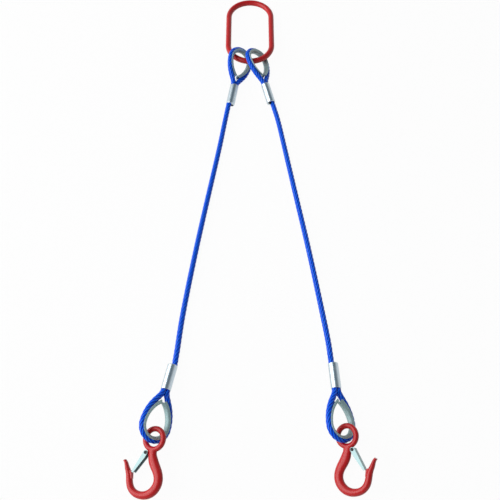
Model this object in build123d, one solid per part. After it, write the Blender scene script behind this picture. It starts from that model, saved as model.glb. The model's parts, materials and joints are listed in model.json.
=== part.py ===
"""Two-leg wire rope sling, lying slack on a flat surface.

A forged oblong master link carries two legs of plastic-coated wire rope. Each leg has a thimble
eye pressed with an aluminium ferrule at both ends, and a forged eye hook with a sprung latch
hangs in each lower eye.

Millimetres, +Z up. The origin is the bearing point inside the crown of the master link. The legs
run from there towards -Y, and the surface that the sling lies on is at Z = floor_z.
"""
import os
from math import acos, cos, degrees, radians, sin, tan

from build123d import *

# Master link: round bar bent to an oblong
link_bar = 12.0
link_inner_width = 83.0
link_inner_length = 171.5
link_tilt = 5.02                 # the lower bow is held up by the eyes, degrees

# Wire rope
rope_diameter = 10.5             # over the plastic coat
pressed_diameter = 7.4           # bare rope squeezed inside a ferrule
pressed_overlap = 0.4            # how far the two squeezed ropes are driven into each other

# Thimble eye, measured from the centre of its bow
thimble_bearing_radius = 17.8
thimble_sheet = 1.6
thimble_flank_radius = 57.7      # its flanks curl in more tightly than the rope's
thimble_tip_gap = 0.6            # between the two tips
thimble_lip_setback = 0.35       # the lips stop this far short of the rope's centre
groove_clearance = 0.15
eye_length = 63.0                # bow centre to the ferrule's mouth
eye_flank_angle = 31.9
eye_throat_radius = 22.8

# Ferrule
ferrule_diameter = 18.0
ferrule_length = 46.0
ferrule_edge = 1.4
tail_diameter = 5.0              # cut end of the rope showing past the ferrule
tail_length = 3.0
tail_gap = 0.45                  # between the cut end and the standing rope beside it

# Eye hook, measured from the centre of its ring; +X is the tip side and the bowl is towards -Y
ring_bar = 9.2
ring_hole = 24.0
hook_line = [                    # forged sections down the middle: x, y, width, thickness
    (0.0, -16.6, 24.0, 8.8),
    (-0.8, -19.6, 15.6, 9.4),
    (-1.6, -24.5, 14.6, 10.4),
    (-3.6, -31.0, 16.2, 11.6),
    (-9.1, -41.0, 16.8, 12.4),
    (-16.6, -52.0, 15.9, 12.8),
    (-20.3, -65.5, 15.6, 12.8),
    (-15.5, -78.8, 15.2, 12.8),
    (-4.8, -87.1, 13.8, 12.8),
    (8.4, -89.3, 12.3, 12.6),
    (20.8, -86.0, 11.5, 12.2),
    (29.5, -77.6, 11.4, 11.8),
    (33.3, -67.6, 11.1, 11.2),
    (37.0, -57.5, 9.5, 10.4),
    (42.2, -48.4, 7.4, 9.2),
    (48.6, -39.0, 5.4, 7.8),
]
seat = [                         # ridge inside the tip that the closed latch bears on
    (28.2, -66.0), (30.1, -56.2), (33.4, -53.6), (36.5, -57.5), (33.0, -67.0),
]
seat_thickness = 7.0

# Latch, its rivet and its torsion spring
rivet_diameter = 3.0
rivet_head_diameter = 5.4
rivet_head_height = 1.1
rivet_head_edge = 0.66
rivet_x = 9.5
rivet_drop = 22.8                # ring centre down to the rivet
lug_radius = 2.8
lug_thickness = 3.2
latch_sheet = 1.1
latch_inner_width = 8.2
latch_length = 38.0              # rivet to the closing end
latch_lean = 25.0                # closed latch, degrees outward from the hook's axis
latch_back = 4.2                 # rivet to the outer face of the latch's web
latch_ear_radius = 3.6
latch_end_depth = 3.2
spring_wire = 0.6
spring_pitch = 0.66
spring_turns = 1.25
spring_arm = 13.0                # pushes the latch's web outward
spring_tail = 1.4                # bears towards the neck

# Running clearances
rivet_clearance = 0.15
spring_clearance = 0.3
latch_clearance = 0.2            # between the rivet's heads and the ears
lying_clearance = 0.4            # between a lying rope and the surface

# Free stretch of each leg: chosen points (x, y, height) between the ferrules, from the top down
rope_lead = 16.0                 # straight stretch that leaves each ferrule
left_route = [
    (-53.2, -326.8, 6.3),
    (-62.4, -385.8, 5.3),
    (-83.6, -503.3, 5.3),
    (-104.1, -620.7, 5.3),
    (-123.0, -738.1, 5.3),
    (-125.5, -797.1, 5.4),
]
right_route = [
    (59.7, -321.7, 5.4),
    (70.1, -380.7, 5.3),
    (91.0, -498.3, 5.3),
    (112.5, -615.9, 5.3),
    (131.2, -733.5, 5.3),
    (140.2, -792.5, 6.3),
]

# Worked out from the sizes above
link_bow_radius = (link_inner_width + link_bar) / 2
link_straight = link_inner_length + link_bar - 2 * link_bow_radius
link_bow_centre_y = link_bar / 2 - link_bow_radius - link_straight
floor_z = -link_bar / 2 * (1 + sin(radians(link_tilt)))
rope_radius = rope_diameter / 2
groove_radius = rope_radius + groove_clearance
thimble_radius = groove_radius + thimble_sheet
eye_radius = thimble_bearing_radius + thimble_radius
pressed_offset = (pressed_diameter - pressed_overlap) / 2
ferrule_end = eye_length + ferrule_length
ring_radius = (ring_hole + ring_bar) / 2


def lay(x, y, height, heading, pitch, roll):
    """Location of a piece on the surface: its +Y points at heading (clockwise from +Y),
    raised by pitch, and the piece is rolled about that line."""
    return Pos(x, y, floor_z + height) * Rot(Z=-heading) * Rot(X=pitch) * Rot(Y=roll)


def eye_height(roll):
    """Height of an eye's centre when the rope of its lower limb rests on the surface."""
    return rope_radius + lying_clearance + eye_radius * abs(sin(radians(roll)))


def hang(eye, aside, below, height, heading, pitch, roll):
    """Location of a hook whose ring lies in a lower eye: offsets from the centre of its bow."""
    return lay(eye.position.X + aside, eye.position.Y + below, height, heading, pitch, roll)


# Places: the upper eyes follow the link's lower bow, the hooks follow the lower eyes
bow_y = link_bow_centre_y * cos(radians(link_tilt))
upper_left = lay(-21.2, bow_y - 45.5, eye_height(36.3) + 1.8, 11.0, 6.8, 36.3)
upper_right = lay(15.5, bow_y - 43.3, eye_height(35.4) + 0.9, -15.8, 6.2, 35.4)
lower_left = lay(-159.3, -947.9, eye_height(35.0) + 2.0, 192.2, 6.7, -35.0)
lower_right = lay(153.4, -946.9, eye_height(30.7) + 1.8, 176.5, 5.8, -30.7)
hook_left = hang(lower_left, 0.1, -22.2, 23.22, 7.6, 3.5, 159.6)
hook_right = hang(lower_right, 9.1, -17.7, 19.15, -0.9, 0.85, -33.7)


def section_plane(path, outward):
    """Plane across the start of a path, its X towards the outside of the eye."""
    return Plane(origin=path @ 0, x_dir=outward, z_dir=path % 0)


def make_master_link():
    """Round bar bent to an oblong ring, in the link's own plane before it is tilted."""
    upper_y = link_bar / 2 - link_bow_radius
    side = link_bow_radius
    path = Wire([
        CenterArc((0, upper_y), link_bow_radius, 0, 180),
        Line((-side, upper_y), (-side, link_bow_centre_y)),
        CenterArc((0, link_bow_centre_y), link_bow_radius, 180, 180),
        Line((side, link_bow_centre_y), (side, upper_y)),
    ])
    bar = Plane(origin=path @ 0, z_dir=path % 0) * Circle(link_bar / 2)
    return Rot(X=-link_tilt) * sweep(bar, path=path)


def rope_edges():
    """Centre line of the rope from the top of the bow down the +X limb to the ferrule's mouth.

    The flank's radius is the one that meets a straight run at the flank angle, which the throat
    bend then turns parallel to the ferrule."""
    angle = radians(eye_flank_angle)
    bend_x = pressed_offset + eye_throat_radius * (1 - cos(angle))
    bend_y = eye_throat_radius * sin(angle) - eye_length
    flank_radius = (-bend_y * tan(angle) - (eye_radius - bend_x)) / (
        sin(angle) * tan(angle) - (1 - cos(angle)))
    flank_x = eye_radius - flank_radius * (1 - cos(angle))
    flank_y = -flank_radius * sin(angle)
    return [
        CenterArc((0, 0), eye_radius, 90, -90),
        CenterArc((eye_radius - flank_radius, 0), flank_radius, 0, -eye_flank_angle),
        Line((flank_x, flank_y), (bend_x, bend_y)),
        CenterArc(
            (pressed_offset + eye_throat_radius, -eye_length),
            eye_throat_radius, 180 - eye_flank_angle, eye_flank_angle),
    ]


def channel_edges():
    """Middle of the thimble's groove: the rope's bow, then a flank curling in to the tip."""
    centre_x = eye_radius - thimble_flank_radius
    inner_radius = thimble_flank_radius - thimble_radius
    turn = degrees(acos((thimble_tip_gap / 2 - centre_x) / inner_radius))
    return [
        CenterArc((0, 0), eye_radius, 90, -90),
        CenterArc((centre_x, 0), thimble_flank_radius, 0, -turn),
    ]


def pressed_ropes(length):
    """The two squeezed ropes side by side, from the ferrule's mouth down."""
    ropes = [
        Pos(side * pressed_offset, -eye_length, 0) * Rot(X=90)
        * extrude(Circle(pressed_diameter / 2), length)
        for side in (-1, 1)
    ]
    return ropes[0] + ropes[1]


def make_rope_eye(standing_side):
    """Loop of coated rope round the thimble with its two squeezed ends in the ferrule, and the
    cut end showing beside the standing rope."""
    path = Wire(rope_edges())
    limb = sweep(section_plane(path, (0, 1, 0)) * Circle(rope_radius), path=path)
    tail_x = rope_radius - pressed_offset + tail_gap + tail_diameter / 2
    tail = Pos(-standing_side * tail_x, -ferrule_end, 0) * Rot(X=90) * extrude(
        Circle(tail_diameter / 2), tail_length)
    return limb + mirror(limb, about=Plane.YZ) + pressed_ropes(ferrule_length) + tail


def make_thimble():
    """Sheet channel bent to a teardrop, its groove open to the outside."""
    path = Wire(channel_edges())
    ring = Circle(thimble_radius) - Circle(groove_radius)
    open_side = Pos(thimble_radius - thimble_lip_setback, 0) * Rectangle(
        2 * thimble_radius, 3 * thimble_radius)
    channel = section_plane(path, (0, 1, 0)) * (ring - open_side)
    limb = sweep(channel, path=path)
    return limb + mirror(limb, about=Plane.YZ)


def make_ferrule():
    """Pressed aluminium sleeve with a figure-eight bore."""
    sleeve = Pos(0, -eye_length, 0) * Rot(X=90) * extrude(
        Circle(ferrule_diameter / 2), ferrule_length)
    rims = sleeve.edges().filter_by(GeomType.CIRCLE)
    return fillet(rims, ferrule_edge) - pressed_ropes(ferrule_length)


def exit_point(place, side, lead=0.0):
    """Where the standing rope leaves a ferrule, or a point on its line further out."""
    return (place * Pos(side * pressed_offset, -ferrule_end - lead, 0)).position


def route_radii(points):
    """Largest even bends: 0.45 of the shorter run over the tangent of half the turn."""
    radii = []
    for before, corner, after in zip(points, points[1:], points[2:]):
        arriving = corner - before
        leaving = after - corner
        half_turn = radians(arriving.get_angle(leaving)) / 2
        radii.append(0.45 * min(arriving.length, leaving.length) / tan(half_turn))
    return radii


def make_rope(name, side, upper, lower, route):
    """Free stretch of a leg, face to face with both ferrules."""
    points = [
        exit_point(upper, side),
        exit_point(upper, side, rope_lead),
        *[Vector(x, y, floor_z + height) for x, y, height in route],
        exit_point(lower, side, rope_lead),
        exit_point(lower, side),
    ]
    radii = route_radii(points)
    print(name, "radii", [round(radius) for radius in radii])
    path = FilletPolyline(*points, radius=radii)
    return sweep(Plane(origin=path @ 0, z_dir=path % 0) * Circle(rope_radius), path=path)


def hook_section(before, middle, after):
    """Oval forged section at one station, square to the line between its neighbours."""
    x, y, width, thickness = middle
    run = Vector(after[0] - before[0], after[1] - before[1])
    across = Vector(-run.Y, run.X)
    return Plane(origin=(x, y, 0), x_dir=across, z_dir=run) * Ellipse(width / 2, thickness / 2)


def make_hook():
    """Forged eye hook: a ring, a shank swelling to the spine, a round bowl and a slim tip."""
    above = (0, 0)
    beyond = (2 * hook_line[-1][0] - hook_line[-2][0], 2 * hook_line[-1][1] - hook_line[-2][1])
    befores = [above, *hook_line[:-1]]
    afters = [*hook_line[1:], beyond]
    sections = [
        hook_section(before, middle, after)
        for before, middle, after in zip(befores, hook_line, afters)
    ]
    body = loft(sections) + Torus(ring_radius, ring_bar / 2)
    ridge = Pos(0, 0, -seat_thickness / 2) * extrude(
        make_face(Polyline(*seat, close=True)), seat_thickness)
    lug = Pos(rivet_x, 0) * Circle(lug_radius) + Pos(rivet_x / 2, 0) * Rectangle(
        rivet_x, 2 * lug_radius)
    lug = Pos(0, -rivet_drop, -lug_thickness / 2) * extrude(lug, lug_thickness)
    bore = Pos(rivet_x, -rivet_drop, -lug_thickness) * extrude(
        Circle(rivet_diameter / 2), 2 * lug_thickness)
    return body + ridge + lug - bore


def make_latch():
    """Folded sheet channel, drawn round the rivet with +X its outer side and its end at -Y."""
    half = latch_inner_width / 2
    inner_face = latch_back - latch_sheet
    lip = latch_back - latch_end_depth
    ear = latch_ear_radius
    side = Circle(ear) + make_face(Polyline(
        (0, ear), (latch_back, ear / 3), (latch_back, -latch_length), (lip, -latch_length),
        (-ear, -2 * ear), (-ear, 0), close=True))
    outer = Pos(0, 0, -half - latch_sheet) * extrude(side, 2 * (half + latch_sheet))
    hollow = Pos(inner_face - latch_length, 0, 0) * Box(
        2 * latch_length, 4 * latch_length, latch_inner_width)
    hole = Pos(0, 0, -2 * half) * extrude(
        Circle(rivet_diameter / 2 + rivet_clearance), 4 * half)
    return outer - hollow - hole


def rivet_place():
    """Rivet axis in the hook's frame, turned so that -Y runs down the closed latch."""
    return Pos(rivet_x, -rivet_drop, 0) * Rot(Z=latch_lean)


def make_rivet():
    """Rivet through the lug and both ears of the latch, with a head on each side."""
    half = latch_inner_width / 2 + latch_sheet + latch_clearance
    shaft = Pos(0, 0, -half) * extrude(Circle(rivet_diameter / 2), 2 * half)
    head = extrude(Circle(rivet_head_diameter / 2), rivet_head_height)
    head = fillet(head.edges().sort_by(Axis.Z)[-1], rivet_head_edge)
    upper = Pos(0, 0, half) * head
    return shaft + upper + mirror(upper, about=Plane.XY)


def make_spring():
    """Torsion spring: a coil beside the lug, an arm on the latch's web and a tail to the neck."""
    radius = rivet_diameter / 2 + spring_clearance + spring_wire / 2
    start = lug_thickness / 2 + spring_clearance + spring_wire / 2
    coil = Rot(Z=90) * Helix(spring_pitch, spring_pitch * spring_turns, radius, lefthand=True)
    tail = Line((coil @ 0) - (coil % 0) * spring_tail, coil @ 0)
    arm = Line(coil @ 1, (coil @ 1) + (coil % 1) * spring_arm)
    wire = Wire([tail, coil, arm])
    section = Plane(origin=wire @ 0, z_dir=wire % 0) * Circle(spring_wire / 2)
    return Pos(0, 0, start) * sweep(section, path=wire, is_frenet=True)


parts = {"master_link": make_master_link()}
legs = {
    "left": (-1, upper_left, lower_left, left_route),
    "right": (1, upper_right, lower_right, right_route),
}
thimble = make_thimble()
ferrule = make_ferrule()
for side, (standing_side, upper, lower, route) in legs.items():
    rope_eye = make_rope_eye(standing_side)
    for level, place in {"upper": upper, "lower": lower}.items():
        parts[f"rope_eye_{level}_{side}"] = place * rope_eye
        parts[f"thimble_{level}_{side}"] = place * thimble
        parts[f"ferrule_{level}_{side}"] = place * ferrule
    parts[f"rope_{side}"] = make_rope(f"rope_{side}", standing_side, upper, lower, route)

hook = make_hook()
latch = rivet_place() * make_latch()
rivet = rivet_place() * make_rivet()
spring = rivet_place() * make_spring()
for side, place in {"left": hook_left, "right": hook_right}.items():
    parts[f"hook_{side}"] = place * hook
    parts[f"latch_{side}"] = place * latch
    parts[f"latch_rivet_{side}"] = place * rivet
    parts[f"latch_spring_{side}"] = place * spring

os.makedirs("parts", exist_ok=True)
for name, shape in parts.items():
    export_step(shape, f"parts/{name}.step")
    print(name, round(shape.volume), "mm3")
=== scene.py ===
# %% [markdown]
# # A two-leg wire rope sling
#
# The sling lies slack on a pale floor. A red oblong link carries two legs of wire rope in a blue
# plastic coat. Every leg has an eye at both ends, laid round a zinc-plated thimble and pressed
# into an aluminium ferrule, and a red forged hook with a sprung latch hangs in each lower eye.
#
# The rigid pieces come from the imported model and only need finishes. The rope is different. A CAD
# tube shows its size and place, but the real rope shows six strands under its coat, so this lesson
# models every stretch of rope as a twisted mesh that follows a curve.

import json
from math import ceil, cos, pi, radians, sin, tan

import bpy
import numpy as np
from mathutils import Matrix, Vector


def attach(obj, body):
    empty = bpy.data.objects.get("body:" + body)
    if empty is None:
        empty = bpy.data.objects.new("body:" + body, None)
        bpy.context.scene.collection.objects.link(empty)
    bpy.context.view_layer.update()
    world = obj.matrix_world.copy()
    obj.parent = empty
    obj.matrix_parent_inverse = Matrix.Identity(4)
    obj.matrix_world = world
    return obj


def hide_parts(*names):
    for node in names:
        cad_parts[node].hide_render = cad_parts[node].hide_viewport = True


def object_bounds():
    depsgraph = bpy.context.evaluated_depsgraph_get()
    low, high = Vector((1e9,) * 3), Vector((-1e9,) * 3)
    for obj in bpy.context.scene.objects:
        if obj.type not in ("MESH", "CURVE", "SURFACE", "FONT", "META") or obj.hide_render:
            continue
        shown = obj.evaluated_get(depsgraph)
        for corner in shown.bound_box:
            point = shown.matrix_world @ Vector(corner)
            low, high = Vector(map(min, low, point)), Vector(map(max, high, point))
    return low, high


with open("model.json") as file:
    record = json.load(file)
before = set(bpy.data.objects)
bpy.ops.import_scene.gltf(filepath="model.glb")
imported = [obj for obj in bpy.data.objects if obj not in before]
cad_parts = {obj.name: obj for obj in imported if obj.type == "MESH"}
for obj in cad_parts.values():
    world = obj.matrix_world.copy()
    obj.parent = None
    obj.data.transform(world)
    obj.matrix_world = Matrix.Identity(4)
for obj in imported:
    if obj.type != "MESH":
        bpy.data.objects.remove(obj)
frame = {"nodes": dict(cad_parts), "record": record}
nodes = frame["nodes"]
cad_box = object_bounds()
floor_z = cad_box[0].z
print("the sling is", [round(high - low, 3) for low, high in zip(*cad_box)], "m")

# %% [markdown]
# ## The camera
#
# A thing that lies flat is best seen from well above, because its outline then reads at once. The
# camera could be aimed with a constraint, but a fixed tilt is simpler here: it looks along +Y and
# down at a steep angle, with the crown of the link furthest away.

# %% Camera
view_elevation = 66.0
camera_y = -1.1196
camera_height = 1.1333           # above the floor
view_angle = 42.37               # across the square frame, degrees

camera_data = bpy.data.cameras.new("camera")
camera_data.angle = radians(view_angle)
camera = bpy.data.objects.new("camera", camera_data)
camera.location = (0, camera_y, floor_z + camera_height)
camera.rotation_euler = (radians(90 - view_elevation), 0, 0)
bpy.context.scene.collection.objects.link(camera)
bpy.context.scene.camera = camera
bpy.context.scene.view_settings.view_transform = "Standard"
print("the camera looks down at", view_elevation, "degrees and sees", view_angle, "degrees")

# %% [markdown]
# ## Node trees written as sums
#
# Shader maths gets long when every Add and Multiply node is made by hand. This small class holds
# one output socket and overloads the arithmetic operators, so `0.3 + mask * 0.1` adds the nodes
# that it says. Every other node comes from `Finish.node`, which sets the node's settings first and
# then its sockets.

# %% Sockets that do arithmetic
class Value:
    """An output socket that takes part in arithmetic."""

    def __init__(self, finish, socket):
        self.finish = finish
        self.socket = socket

    def math(self, operation, *values):
        return self.finish.node("Math", {"operation": operation}, dict(enumerate(values)))

    def __add__(self, other):
        return self.math("ADD", self, other)

    def __mul__(self, other):
        return self.math("MULTIPLY", self, other)

    def __pow__(self, other):
        return self.math("POWER", self, other)

    __radd__ = __add__
    __rmul__ = __mul__


class Finish:
    """A node tree, with one way of adding any node to it."""

    def __init__(self, owner):
        owner.use_nodes = True
        self.tree = owner.node_tree
        self.tree.nodes.clear()

    def node(self, kind, settings, sockets, output=0):
        """Adds a node, sets it up, fills its sockets and returns one of its outputs."""
        node = self.tree.nodes.new("ShaderNode" + kind)
        for name, value in settings.items():
            if name == "stops":
                set_stops(node.color_ramp, value)
            else:
                setattr(node, name, value)
        for key, value in sockets.items():
            if isinstance(value, Value):
                self.tree.links.new(value.socket, node.inputs[key])
            else:
                node.inputs[key].default_value = value
        return Value(self, node.outputs[output]) if node.outputs else None

    def noise(self, place, scale, detail=3.0, roughness=0.5):
        """Grey noise about 0.5, with features about 1/scale metres across."""
        return self.node("TexNoise", {}, {
            "Vector": place, "Scale": scale, "Detail": detail, "Roughness": roughness})

    def blend(self, factor, first, second):
        """Colour that goes from first to second as the factor goes from 0 to 1.

        A Mix node has sockets for several kinds of data. Its colours are inputs 6 and 7 and
        output 2.
        """
        return self.node("Mix", {"data_type": "RGBA"}, {
            "Factor": factor, 6: first, 7: second}, output=2)

    def ramp(self, value, stops):
        """Value that follows straight lines between stops of (position, grey)."""
        return self.node("ValToRGB", {"stops": stops}, {"Fac": value})

    def rays(self, *kinds):
        """1 for light rays of any of these kinds, and 0 for others."""
        return sum(self.node("LightPath", {}, {}, output=f"Is {kind} Ray") for kind in kinds)


def set_stops(ramp, stops):
    """Grey stops of a colour ramp, as (position, grey) pairs in order."""
    while len(ramp.elements) < len(stops):
        ramp.elements.new(1.0)
    for element, (position, grey) in zip(ramp.elements, stops):
        element.position = position
        element.color = (grey, grey, grey, 1)


def new_material(name):
    """An empty material with its node-building helper and the object's own coordinates."""
    material = bpy.data.materials.new(name)
    finish = Finish(material)
    place = finish.node("TexCoord", {}, {}, output="Object")
    return material, finish, place


def close_material(finish, sockets):
    """Ends a tree with one principled shader."""
    shader = finish.node("BsdfPrincipled", {}, sockets)
    finish.node("OutputMaterial", {}, {"Surface": shader})


# %% [markdown]
# ## Floor
#
# A white background is easy to get by overexposing the floor, but that would also burn out the
# pale metal. Here the floor is only a pale colour under plain light, and a camera ray mostly
# passes through it to the white world behind. The sling's shadow stays in the small part that is
# left. A leg that is swung out dips a little below the floor's level, and this way it stays in
# view. For the same reason the lamp's light passes through as well.

# %% Floor
floor_size = 12.0
floor_gap = 0.0002               # keeps the lowest rope clear of the floor
floor_clear_share = 0.96         # how much of the white behind the floor the camera sees
floor_colour = (0.80, 0.80, 0.81, 1)
white_colour = (1, 1, 1, 1)

floor_mesh = bpy.data.meshes.new("floor")
half = floor_size / 2
floor_mesh.from_pydata(
    [(-half, -half, 0), (half, -half, 0), (half, half, 0), (-half, half, 0)], [], [(0, 1, 2, 3)])
floor = bpy.data.objects.new("floor", floor_mesh)
floor.location = (0, (cad_box[0].y + cad_box[1].y) / 2, floor_z - floor_gap)
bpy.context.scene.collection.objects.link(floor)

floor_material = bpy.data.materials.new("floor")
finish = Finish(floor_material)
let_through = finish.rays("Camera", "Glossy", "Transmission", "Shadow") * floor_clear_share
lit = finish.node("BsdfDiffuse", {}, {"Color": floor_colour})
clear = finish.node("BsdfTransparent", {}, {"Color": white_colour})
mixed = finish.node("MixShader", {}, {0: let_through, 1: lit, 2: clear})
finish.node("OutputMaterial", {}, {"Surface": mixed})
floor_mesh.materials.append(floor_material)
print("the floor is", floor_size, "m wide and lies at", round(floor.location.z, 4), "m")

# %% [markdown]
# ## World and lamp
#
# A sling on a white table is lit by one big soft window and by the pale room. The room could be a
# box of lamps, but the world alone can play it, because it may look different to each kind of ray.
# The camera sees plain white. Metal sees white walls and a darker ceiling, which is what gives
# bare metal its shape. Dull surfaces get an even light, and only from above, or the clear floor
# would let light up from below.
#
# One wide lamp on the left gives the rope its bright edge.

# %% World
world_light = 0.24
ceiling_colour = (0.14, 0.19, 0.23, 1)   # what metal shows of the room overhead
ceiling_edge = [(0.0, 0.0), (0.3, 0.12), (0.65, 0.75), (0.82, 1.0)]
horizon = [(0.0, 0.0), (0.01, 1.0)]      # dark below it, light above

world = bpy.data.worlds.new("studio")
bpy.context.scene.world = world
finish = Finish(world)
direction = finish.node("TexCoord", {}, {}, output="Generated")
height = finish.node("SeparateXYZ", {}, {0: direction}, output="Z")
ceiling = finish.blend(finish.ramp(height, ceiling_edge), white_colour, ceiling_colour)
sky = finish.ramp(height, horizon)
light = finish.node("Background", {}, {"Color": sky, "Strength": world_light})
white = finish.node("Background", {}, {"Color": white_colour, "Strength": 1.0})
room = finish.node("Background", {}, {"Color": ceiling, "Strength": 1.0})
mixed = finish.node("MixShader", {}, {
    0: finish.rays("Camera", "Transmission"), 1: light, 2: white})
mixed = finish.node("MixShader", {}, {0: finish.rays("Glossy"), 1: mixed, 2: room})
finish.node("OutputWorld", {}, {"Surface": mixed})
print("the world lights dull surfaces at a strength of", world_light)

# %% Softbox
softbox_place = (-2.35, -0.5, 1.6)
softbox_size = 3.2
softbox_power = 104

softbox_data = bpy.data.lights.new("key", "AREA")
softbox_data.shape = "SQUARE"
softbox_data.size = softbox_size
softbox_data.energy = softbox_power
softbox = bpy.data.objects.new("key", softbox_data)
middle = Vector((0, (cad_box[0].y + cad_box[1].y) / 2, floor_z))
softbox.location = softbox_place
softbox.rotation_euler = (middle - Vector(softbox_place)).to_track_quat("-Z", "Y").to_euler()
softbox.visible_camera = False
bpy.context.scene.collection.objects.link(softbox)
print("the softbox stands", round((middle - Vector(softbox_place)).length, 2), "m away")

# %% [markdown]
# ## Blue plastic coat
#
# The coat is a deep blue plastic, a little translucent. The rope's colour is darker in the grooves
# than on the strands, partly because the plastic is thicker there and partly as painted shade.
# Subsurface light could do some of this, but on so thin a rope it only blurs. The rope's mesh says
# how near each point is to a strand's crown, in a colour attribute, and the material reads the two
# blues from that. Noise adds faint clouds and a few dull scuffs.

# %% Blue plastic coat
# painted shade: this power widens the dark groove colour on the rope
painted_groove_shade_spread = 1.4            # above 1, the bright stripe on a strand is narrower


def make_blue_coat():
    material, finish, place = new_material("blue_coat")
    cloud = finish.noise(place, scale=90, detail=4)
    scuff = finish.ramp(
        finish.noise(place, scale=900, detail=2), [(0.0, 0.0), (0.62, 0.0), (0.8, 1.0)])
    crown = finish.node("Attribute", {"attribute_name": "crown"}, {}, output="Fac")
    over_strands = finish.blend(cloud, (0.0, 0.13, 1.0, 1), (0.002, 0.19, 1.0, 1))
    # painted shade: the grooves get a much darker blue, partly for the thicker plastic
    colour = finish.blend(crown ** painted_groove_shade_spread, (0.0, 0.003, 0.40, 1), over_strands)
    close_material(finish, {
        "Base Color": colour,
        "Roughness": 0.26 + scuff * 0.15,
        "Specular IOR Level": 0.2,
        "Normal": finish.node("Bump", {}, {
            "Strength": 0.12, "Distance": 0.0003, "Height": cloud}),
    })
    return material


# %% [markdown]
# ## Red paint
#
# The link and the hooks are forged steel under thick red paint. The forging is never quite flat,
# and the paint follows it and adds its own fine skin. Both could be sculpted, but they are only
# about a tenth of a millimetre deep, so two sizes of noise in one bump are enough. The wide noise
# also darkens the red a little in the hollows, which is painted shade.

# %% Red paint on forged steel
def make_red_paint():
    material, finish, place = new_material("red_paint")
    skin = finish.noise(place, scale=260, detail=5, roughness=0.6)
    dents_and_painted_shade = finish.noise(place, scale=70, detail=2)
    # painted shade: the red is darker where the wide noise makes hollows
    colour = finish.blend(dents_and_painted_shade, (0.44, 0.006, 0.009, 1), (0.58, 0.015, 0.016, 1))
    close_material(finish, {
        "Base Color": colour,
        "Roughness": 0.24 + skin * 0.10,
        "Specular IOR Level": 0.38,
        "Normal": finish.node("Bump", {}, {
            "Strength": 0.14, "Distance": 0.0008, "Height": skin * 0.3 + dents_and_painted_shade}),
    })
    return material


# %% [markdown]
# ## Zinc-plated sheet
#
# Zinc on sheet steel is between a metal and a grey paint: it has a dull sheen and pale cloudy
# patches. Full metal would mirror the white room and look like chrome, so the surface is half
# metal and quite rough, with a green-grey tint.

# %% Zinc-plated sheet
def make_zinc_sheet():
    material, finish, place = new_material("zinc_sheet")
    cloud = finish.noise(place, scale=160, detail=5, roughness=0.62)
    colour = finish.blend(cloud, (0.29, 0.42, 0.44, 1), (0.40, 0.55, 0.54, 1))
    close_material(finish, {
        "Base Color": colour,
        "Metallic": 0.5,
        "Roughness": 0.44 + cloud * 0.14,
        "Normal": finish.node("Bump", {}, {
            "Strength": 0.03, "Distance": 0.0003, "Height": cloud}),
    })
    return material


# %% [markdown]
# ## Pressed aluminium
#
# A ferrule is squeezed in a die, which leaves a clean satin skin. It is bare metal, so almost all
# of its look is the room that it shows: bright at its sides, grey towards the ceiling. A brushed
# pattern would be too strong at this size, and faint clouds in colour and roughness are enough.

# %% Pressed aluminium
def make_aluminium():
    material, finish, place = new_material("aluminium")
    cloud = finish.noise(place, scale=120, detail=3)
    colour = finish.blend(cloud, (0.48, 0.56, 0.61, 1), (0.58, 0.66, 0.70, 1))
    close_material(finish, {
        "Base Color": colour,
        "Metallic": 1.0,
        "Roughness": 0.29 + cloud * 0.10,
        "Normal": finish.node("Bump", {}, {
            "Strength": 0.06, "Distance": 0.0003, "Height": cloud}),
    })
    return material


# %% [markdown]
# ## Blackened steel
#
# Rivets, springs and the cut wires are small and nearly black. One recipe serves them all. It
# could be one material, but the rivets and the springs have their own slots in the record, so it
# is made twice.

# %% Blackened steel
def make_black_steel(name):
    material, finish, place = new_material(name)
    cloud = finish.noise(place, scale=800, detail=3)
    colour = finish.blend(cloud, (0.006, 0.006, 0.007, 1), (0.030, 0.030, 0.032, 1))
    close_material(finish, {
        "Base Color": colour,
        "Metallic": 0.3,
        "Roughness": 0.40 + cloud * 0.2,
        "Specular IOR Level": 0.3,
    })
    return material


# %% [markdown]
# ## Dressing the rigid pieces
#
# The link, the hooks, the latches, the thimbles and the ferrules already have their shapes, so
# they only get a material each. It could go into the mesh, but in the object's own slot it leaves
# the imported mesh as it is. The record says which finish every node wears.

# %% Give the carried-over nodes their finishes
materials = {
    "blue_coat": make_blue_coat(),
    "red_paint": make_red_paint(),
    "zinc_sheet": make_zinc_sheet(),
    "aluminium": make_aluminium(),
    "rivet_steel": make_black_steel("rivet_steel"),
    "spring_wire": make_black_steel("spring_wire"),
}
slot_of_node = {part["node"]: part["material_slot"] for part in frame["record"]["subparts"]}
for name, node in nodes.items():
    slot = slot_of_node[name]
    node.material_slots[0].link = "OBJECT"
    node.material_slots[0].material = materials[slot]
print(len(nodes), "nodes wear", len(materials), "finishes")

# %% [markdown]
# ## Twisted rope
#
# Six strands lie round a core, and the coat is drawn over them, so a cut across the rope shows six
# shallow lobes. The rope could be six separate helices, but the coat closes the gaps between them.
# One tube is truer: its section is the lobed outline, and the outline turns a little at every
# ring. The rings ride on frames that never twist by themselves, so the lay stays even in bends.

# %% A tube with strands
rope_diameter = 0.0105
strand_count = 6
lobe_depth = 0.17                # depth of the grooves, as a share of the rope's radius
groove_sharpness = 1.8           # above 1, a groove is narrower than a strand
lay_length = 0.053               # one full turn of a strand
ring_step = 0.0010
ring_points = 60


def evenly_spaced(line, step):
    """The same line with its points a step apart."""
    along = np.concatenate([[0], np.cumsum(np.linalg.norm(np.diff(line, axis=0), axis=1))])
    places = np.linspace(0, along[-1], ceil(along[-1] / step) + 1)
    return np.stack([np.interp(places, along, line[:, axis]) for axis in range(3)], axis=1), places


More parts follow.
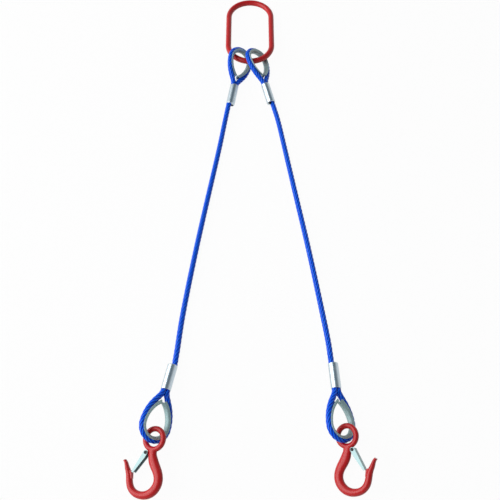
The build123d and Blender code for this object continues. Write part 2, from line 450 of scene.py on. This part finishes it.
def untwisted_frames(line):
    """Two directions across the line, which turn with it but never about it."""
    tangents = np.gradient(line, axis=0)
    tangents /= np.linalg.norm(tangents, axis=1)[:, None]
    across = np.cross(tangents[0], (0, 0, 1))
    firsts = []
    for tangent in tangents:
        across = across - tangent * (across @ tangent)
        across = across / np.linalg.norm(across)
        firsts.append(across)
    firsts = np.array(firsts)
    return firsts, np.cross(tangents, firsts)


def rings_about(line, radius, points):
    """Rings of points about a line, with the radius at each point or one radius for all."""
    first, second = untwisted_frames(line)
    angles = np.linspace(0, 2 * pi, points, endpoint=False)
    return line[:, None, :] + np.asarray(radius)[..., None] * (
        np.cos(angles)[None, :, None] * first[:, None, :]
        + np.sin(angles)[None, :, None] * second[:, None, :])


def stranded_rings(line):
    """Rings of the coat's surface along a line, and its crown: 1 on a strand, 0 in a groove."""
    line, places = evenly_spaced(line, ring_step)
    angles = np.linspace(0, 2 * pi, ring_points, endpoint=False)
    twisted = angles[None, :] - (2 * pi * places / lay_length)[:, None]
    share = (twisted * strand_count / (2 * pi)) % 1
    depth = np.abs(2 * share - 1) ** groove_sharpness
    radius = rope_diameter / 2 * (1 - lobe_depth * depth)
    return rings_about(line, radius, ring_points), 1 - depth


print("a strand goes once round the rope every", round(1000 * lay_length), "mm")

# %% From rings to pieces
def mesh_piece(name, vertices, faces, body, slot, crown=None):
    """A smooth mesh object that rides on a body and wears one of the finishes."""
    mesh = bpy.data.meshes.new(name)
    mesh.from_pydata([tuple(v) for v in vertices], [], faces)
    mesh.materials.append(materials[slot])
    if crown is not None:
        layer = mesh.color_attributes.new("crown", "FLOAT_COLOR", "POINT")
        grey = np.repeat(crown.ravel(), 4)
        grey[3::4] = 1
        layer.data.foreach_set("color", grey)
    mesh.polygons.foreach_set("use_smooth", [True] * len(mesh.polygons))
    mesh.update()
    piece = bpy.data.objects.new(name, mesh)
    bpy.context.scene.collection.objects.link(piece)
    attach(piece, body)
    return piece


def tube_faces(rings, points):
    """Quads between the rings, and one flat cap on both ends."""
    faces = []
    for ring in range(rings - 1):
        for point in range(points):
            after = (point + 1) % points
            low, high = ring * points, (ring + 1) * points
            faces.append((low + point, low + after, high + after, high + point))
    faces.append(tuple(range(points))[::-1])
    faces.append(tuple(range((rings - 1) * points, rings * points)))
    return faces


# %% [markdown]
# ## The free stretches
#
# A free rope is a soft thing. Its line is a NURBS spline of order 3, which is smooth even
# though it has few points. It could be a curve with a round bevel, but a bevel has no strands, so
# the mesh tube follows points read from the spline.
# The first and last points are where the rope leaves a ferrule, and most others lie on the floor.

# %% A smooth line through few points
spline_steps = 48                # points read between two control points


def nurbs_line(name, points):
    """Points along a smooth spline through few control points."""
    curve = bpy.data.curves.new(name, "CURVE")
    curve.dimensions = "3D"
    curve.resolution_u = spline_steps
    spline = curve.splines.new("NURBS")
    spline.points.add(len(points) - 1)
    for control, point in zip(spline.points, points):
        control.co = (*point, 1)
    spline.order_u = 3
    spline.use_endpoint_u = True
    bare = bpy.data.objects.new(name, curve)
    mesh = bpy.data.meshes.new_from_object(bare)
    line = np.array([vertex.co for vertex in mesh.vertices])
    bpy.data.meshes.remove(mesh)
    bpy.data.curves.remove(curve)
    return line


# %% Free ropes
rope_routes = {
    "rope_left": [
        (-0.0447, -0.2809, 0.0048),
        (-0.0477, -0.2965, 0.0029),
        (-0.0532, -0.3268, -0.0002),
        (-0.0624, -0.3858, -0.0012),
        (-0.0836, -0.5033, -0.0012),
        (-0.1041, -0.6207, -0.0012),
        (-0.1222, -0.7381, -0.0012),
        (-0.1275, -0.7850, -0.0012),
        (-0.1302, -0.8150, -0.0012),
        (-0.1337, -0.8429, 0.0006),
    ],
    "rope_right": [
        (0.0477, -0.2761, 0.0006),
        (0.0520, -0.2914, -0.0011),
        (0.0597, -0.3217, -0.0011),
        (0.0701, -0.3807, -0.0012),
        (0.0910, -0.4983, -0.0012),
        (0.1125, -0.6159, -0.0012),
        (0.1312, -0.7335, -0.0012),
        (0.1402, -0.7925, -0.0002),
        (0.1428, -0.8228, 0.0027),
        (0.1438, -0.8387, 0.0043),
    ],
}

for name, route in rope_routes.items():
    line = nurbs_line(name + "_line", route)
    rings, crown = stranded_rings(line)
    side = name.split("_")[1]
    piece = mesh_piece(
        name + "_coat", rings.reshape(-1, 3), tube_faces(len(rings), ring_points),
        "leg_" + side, "blue_coat", crown)
    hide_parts(name)

# %% [markdown]
# ## The eyes
#
# An eye is not a free cord: the thimble holds it all the way. Its line is a round bow, two flanks
# that draw in, and a throat where both limbs turn into the ferrule. Where the limbs meet, each is
# pressed flat against the other. A spline could be drawn round the thimble by hand, but with the
# thimble's own radii the rope lies in the groove all the way.
#
# The eye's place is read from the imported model. The thimble and the ferrule are symmetrical, so
# the line between their centroids is the eye's axis, and the thimble's flattest direction is its
# normal.

# %% Where an eye lies
bearing_radius = 0.0178
groove_clearance = 0.00015
sheet_thickness = 0.0016
eye_length = 0.063
flank_angle = radians(31.9)
throat_radius = 0.0228
pressed_offset = 0.0035          # from the eye's axis to each limb inside the ferrule
limb_gap = 0.00003               # from the eye's axis to each limb's flat side, where they touch
bow_points, flank_points, throat_points = 60, 40, 30

rope_radius = rope_diameter / 2
eye_radius = bearing_radius + rope_radius + groove_clearance + sheet_thickness
print("the rope goes round a bow with a radius of", round(1000 * eye_radius, 1), "mm")


def surface_moments(node):
    """Centroid of a node's surface and the directions of its spread, flattest first."""
    mesh = nodes[node].data
    mesh.calc_loop_triangles()
    points = np.array([vertex.co for vertex in mesh.vertices])
    corners = points[np.array([triangle.vertices for triangle in mesh.loop_triangles])]
    normals = np.cross(corners[:, 1] - corners[:, 0], corners[:, 2] - corners[:, 0])
    areas = np.linalg.norm(normals, axis=1)
    centres = corners.mean(axis=1)
    centroid = (centres * areas[:, None]).sum(axis=0) / areas.sum()
    spread = centres - centroid
    _, directions = np.linalg.eigh((spread * areas[:, None]).T @ spread)
    return centroid, directions.T


def eye_place(corner):
    """Matrix from the eye's own plane to the sling, with the bow's centre as its origin."""
    thimble, directions = surface_moments("thimble_" + corner)
    ferrule, _ = surface_moments("ferrule_" + corner)
    up = (thimble - ferrule) / np.linalg.norm(thimble - ferrule)
    normal = directions[0] - up * (directions[0] @ up)
    normal /= np.linalg.norm(normal)
    if normal[2] < 0:
        normal = -normal
    across = np.cross(up, normal)
    vertices = np.array([vertex.co for vertex in nodes["rope_eye_" + corner].data.vertices])
    top = ((vertices - ferrule) @ up).max()
    centre = ferrule + up * (top - eye_radius - rope_radius)
    return np.array([across, up, normal]).T, centre


# %% The line of an eye
def eye_line():
    """The rope's centre line round the eye, from one side of the ferrule's mouth to the other."""
    bend_x = pressed_offset + throat_radius * (1 - cos(flank_angle))
    bend_y = throat_radius * sin(flank_angle) - eye_length
    flank_radius = (-bend_y * tan(flank_angle) - (eye_radius - bend_x)) / (
        sin(flank_angle) * tan(flank_angle) - (1 - cos(flank_angle)))
    bow = np.radians(np.linspace(90, 0, bow_points))
    flank = -np.linspace(0, flank_angle, flank_points)[1:]
    throat = np.pi - np.linspace(flank_angle, 0, throat_points)
    limb = np.concatenate([
        np.stack([eye_radius * np.cos(bow), eye_radius * np.sin(bow)], axis=1),
        np.stack([eye_radius - flank_radius * (1 - np.cos(flank)),
                  flank_radius * np.sin(flank)], axis=1),
        np.stack([pressed_offset + throat_radius * (1 + np.cos(throat)),
                  throat_radius * np.sin(throat) - eye_length], axis=1),
    ])
    other = limb[:0:-1] * (-1, 1)
    both = np.concatenate([other, limb])
    return np.column_stack([both, np.zeros(len(both))])


# %% Ropes round the thimbles
eye_places = {}
for corner in ("upper_left", "upper_right", "lower_left", "lower_right"):
    turn, centre = eye_place(corner)
    eye_places[corner] = (turn, centre)
    rings, crown = stranded_rings(eye_line())
    top_ring = len(rings) // 2
    rings[:top_ring, :, 0] = np.minimum(rings[:top_ring, :, 0], -limb_gap)
    rings[top_ring:, :, 0] = np.maximum(rings[top_ring:, :, 0], limb_gap)
    placed = rings.reshape(-1, 3) @ turn.T + centre
    piece = mesh_piece(
        f"eye_{corner}_coat", placed, tube_faces(len(rings), ring_points),
        "leg_" + corner.split("_")[1], "blue_coat", crown)
    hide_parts("rope_eye_" + corner)
    print(corner, "eye centre", [round(1000 * value, 1) for value in centre])

# %% [markdown]
# ## The cut ends
#
# The dead end of the rope is cut off just past the ferrule, beside the rope that goes on. The cut
# shows bare wire strands. A dark disc would do from afar, but close up the strands count, so each
# end is a small twisted bundle: one strand in the middle and six round it, sawn off at slightly
# different lengths.

# %% A bundle of cut strands
ferrule_length = 0.046
tail_diameter = 0.005
tail_lengths = {                 # past the ferrule's end
    "upper_left": 0.0006, "upper_right": 0.003, "lower_left": 0.0008, "lower_right": 0.0008}
tail_gap = 0.00045               # to the rope that goes on
tail_turn = radians(35)          # how far the bundle twists over its length
tail_steps = 7                   # rings along a strand
tail_points = 14                 # points round a strand
tail_fit = 0.97                  # leaves a hair between neighbouring strands
worn_edge = 0.82                 # the last ring is smaller, so the cut edge looks broken
uneven_share = 0.14              # how much the strands differ in length
uneven_phase = 2.3               # spreads those lengths over the strands


def strand_tube(path, radius):
    """Vertices and faces of a round tube whose far end is a little narrower."""
    rings = rings_about(path, radius, tail_points)
    rings[-1] = path[-1] + (rings[-1] - path[-1]) * worn_edge
    return rings.reshape(-1, 3), tube_faces(len(path), tail_points)


def cut_end(standing_side, tail_length):
    """The bundle of strands in the eye's own plane, as one list of vertices and faces."""
    strand_radius = tail_diameter / 6        # the bundle is three strands wide
    start = np.array([
        -standing_side * (rope_radius - pressed_offset + tail_gap + tail_diameter / 2),
        -eye_length - ferrule_length, 0])
    vertices, faces = [], []
    for number in range(1 + strand_count):
        ring = 0 if number == 0 else 2 * strand_radius
        length = tail_length * (
            1 - uneven_share + uneven_share * cos(uneven_phase * number))
        down = np.linspace(0, length, tail_steps)
        turn = number * 2 * pi / strand_count + tail_turn * down / tail_length
        path = start + np.stack([ring * np.cos(turn), -down, ring * np.sin(turn)], axis=1)
        more, quads = strand_tube(path, strand_radius * tail_fit)
        faces += [tuple(index + len(vertices) for index in face) for face in quads]
        vertices += list(more)
    return np.array(vertices), faces


# %% Cut ends at the ferrules
for corner, (turn, centre) in eye_places.items():
    side = corner.split("_")[1]
    vertices, faces = cut_end(-1 if side == "left" else 1, tail_lengths[corner])
    piece = mesh_piece(
        f"cut_end_{corner}", vertices @ turn.T + centre, faces, "leg_" + side, "spring_wire")
    print(piece.name, "has", len(faces), "faces")
